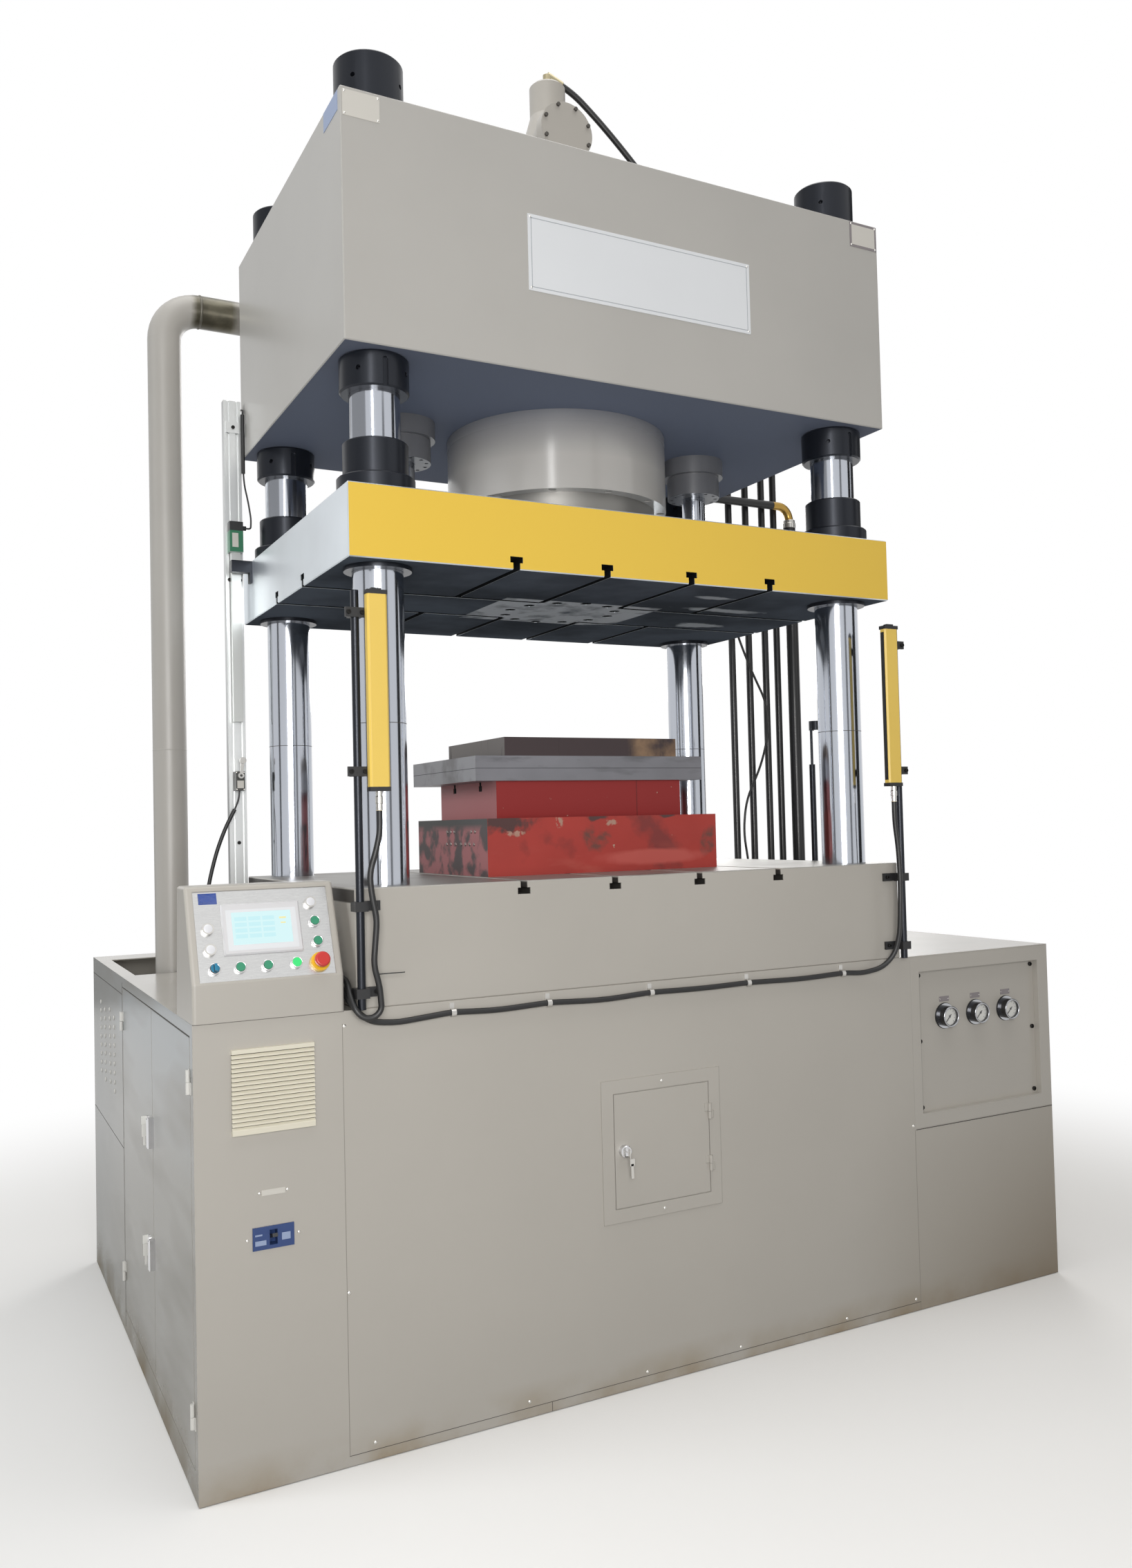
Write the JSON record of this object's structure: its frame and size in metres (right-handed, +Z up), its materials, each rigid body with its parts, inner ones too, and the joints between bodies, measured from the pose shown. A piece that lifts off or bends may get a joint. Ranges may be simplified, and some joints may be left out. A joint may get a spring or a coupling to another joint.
{
  "type": "four-column hydraulic press",
  "caption": "Four-column hydraulic press: plate crown with main and return cylinders, sliding plate on chromed columns, bed on a sheet-metal cabinet with console, gauges and a light curtain.",
  "frame": {"origin": "on the floor under the axis of the main ram", "axes": "+X to the operator's right, +Y to the back, +Z up"},
  "size_m": [3.045, 2.058, 4.3071],
  "materials": {
    "grey_paint": "semi-gloss warm light grey",
    "chrome": "hard chrome",
    "black_metal": "black oxide",
    "dark_steel": "oily machined steel",
    "yellow_paint": "semi-gloss yellow",
    "red_paint": "worn red paint",
    "stainless": "brushed",
    "aluminium": "satin",
    "black_plastic": "matt",
    "cream_plastic": "matt",
    "blue_plastic": "gloss",
    "green_plastic": "gloss",
    "red_plastic": "gloss",
    "rubber": "matt black",
    "device_grey": "matt"
  },
  "bodies": {
    "frame": {"bed": "grey_paint", "bed_stand": "grey_paint", "front_panel": "grey_paint", "electric_cabinet": "grey_paint", "hydraulic_housing": "grey_paint", "gauge_housing": "grey_paint", "gauge_panel": "grey_paint", "crown": "grey_paint", "main_cylinder": "grey_paint", "return_cylinders": "grey_paint", "prefill_valve": "grey_paint", "suction_pipe": "grey_paint", "console": "grey_paint", "access_frame": "grey_paint", "oil_tank": "grey_paint", "prefill_cover": "grey_paint", "columns": "chrome", "gauges": "chrome", "side_poles": "black_metal", "column_nuts": "black_metal", "pressure_pipes": "black_metal", "cylinder_gland": "dark_steel", "die_plates": "dark_steel", "light_bars": "yellow_paint", "die_blocks": "red_paint", "console_face": "stainless", "cable_clips": "stainless", "panel_fittings": "stainless", "scale_rail": "aluminium", "position_transducer": "aluminium", "limit_switch": "aluminium", "touch_panel": "black_plastic", "pole_clamps": "black_plastic", "vent_grille": "cream_plastic", "breaker": "blue_plastic", "sensor_cables": "rubber", "prefill_hose": "rubber", "switchgear": "device_grey", "pump_unit": "device_grey"},
    "slide": {"slide": "yellow_paint", "guide_bushes": "black_metal", "main_ram": "chrome", "return_rods": "chrome", "magnet_bracket": "black_metal"},
    "access_door": {"access_door": "grey_paint"},
    "front_cabinet_door": {"front_cabinet_door": "grey_paint", "door_handles": "chrome"},
    "rear_cabinet_door": {"rear_cabinet_door": "grey_paint"},
    "breaker_toggle": {"breaker_toggle": "black_plastic"},
    "selector_knob": {"selector_knob": "black_plastic"},
    "estop_button": {"estop_button": "red_plastic"},
    "limit_lever": {"limit_lever": "stainless"},
    "push_button_1": {"push_button_1": "green_plastic"},
    "push_button_2": {"push_button_2": "green_plastic"},
    "push_button_3": {"push_button_3": "green_plastic"},
    "push_button_4": {"push_button_4": "green_plastic"},
    "push_button_5": {"push_button_5": "green_plastic"},
    "gauge_needle_1": {"gauge_needle_1": "black_metal"},
    "gauge_needle_2": {"gauge_needle_2": "black_metal"},
    "gauge_needle_3": {"gauge_needle_3": "black_metal"}
  },
  "joints": [
    {"name": "slide_travel", "type": "slide", "parent": "frame", "child": "slide", "axis": [0, 0, 1], "range_m": [-0.44, 0.04]},
    {"name": "access_door_hinge", "type": "hinge", "parent": "frame", "child": "access_door", "pos_m": [0.157, -0.6085, 0.694], "axis": [0, 0, 1], "range_deg": [0, 120]},
    {"name": "front_cabinet_door_hinge", "type": "hinge", "parent": "frame", "child": "front_cabinet_door", "pos_m": [-1.3805, -0.562, 0.6], "axis": [0, 0, 1], "range_deg": [0, 110]},
    {"name": "rear_cabinet_door_hinge", "type": "hinge", "parent": "frame", "child": "rear_cabinet_door", "pos_m": [-1.3805, 0.602, 0.6], "axis": [0, 0, -1], "range_deg": [0, 110]},
    {"name": "breaker_switch", "type": "hinge", "parent": "frame", "child": "breaker_toggle", "pos_m": [-1.181, -0.591, 0.627], "axis": [1, 0, 0], "range_deg": [0, 36]},
    {"name": "selector_turn", "type": "hinge", "parent": "frame", "child": "selector_knob", "pos_m": [-1.31685, -0.59224, 1.31342], "axis": [0, -0.9321, 0.3621], "range_deg": [-45, 45]},
    {"name": "estop_press", "type": "slide", "parent": "frame", "child": "estop_button", "axis": [0, 0.9321, -0.3621], "range_m": [0, 0.006], "stiffness_N_per_m": 600},
    {"name": "push_button_1_press", "type": "slide", "parent": "frame", "child": "push_button_1", "axis": [0, 0.9321, -0.3621], "range_m": [0, 0.004], "stiffness_N_per_m": 300},
    {"name": "push_button_2_press", "type": "slide", "parent": "frame", "child": "push_button_2", "axis": [0, 0.9321, -0.3621], "range_m": [0, 0.004], "stiffness_N_per_m": 300},
    {"name": "push_button_3_press", "type": "slide", "parent": "frame", "child": "push_button_3", "axis": [0, 0.9321, -0.3621], "range_m": [0, 0.004], "stiffness_N_per_m": 300},
    {"name": "push_button_4_press", "type": "slide", "parent": "frame", "child": "push_button_4", "axis": [0, 0.9321, -0.3621], "range_m": [0, 0.004], "stiffness_N_per_m": 300},
    {"name": "push_button_5_press", "type": "slide", "parent": "frame", "child": "push_button_5", "axis": [0, 0.9321, -0.3621], "range_m": [0, 0.004], "stiffness_N_per_m": 300},
    {"name": "gauge_needle_1_turn", "type": "hinge", "parent": "frame", "child": "gauge_needle_1", "pos_m": [1.163, -0.602, 0.963], "axis": [0, 1, 0], "range_deg": [0, 270]},
    {"name": "gauge_needle_2_turn", "type": "hinge", "parent": "frame", "child": "gauge_needle_2", "pos_m": [1.309, -0.602, 0.963], "axis": [0, 1, 0], "range_deg": [0, 270]},
    {"name": "gauge_needle_3_turn", "type": "hinge", "parent": "frame", "child": "gauge_needle_3", "pos_m": [1.456, -0.602, 0.963], "axis": [0, 1, 0], "range_deg": [0, 270]},
    {"name": "limit_lever_turn", "type": "hinge", "parent": "frame", "child": "limit_lever", "pos_m": [-0.994, 0.49, 1.851], "axis": [0, 1, 0], "range_deg": [-30, 30], "stiffness_Nm_per_rad": 0.3}
  ]
}
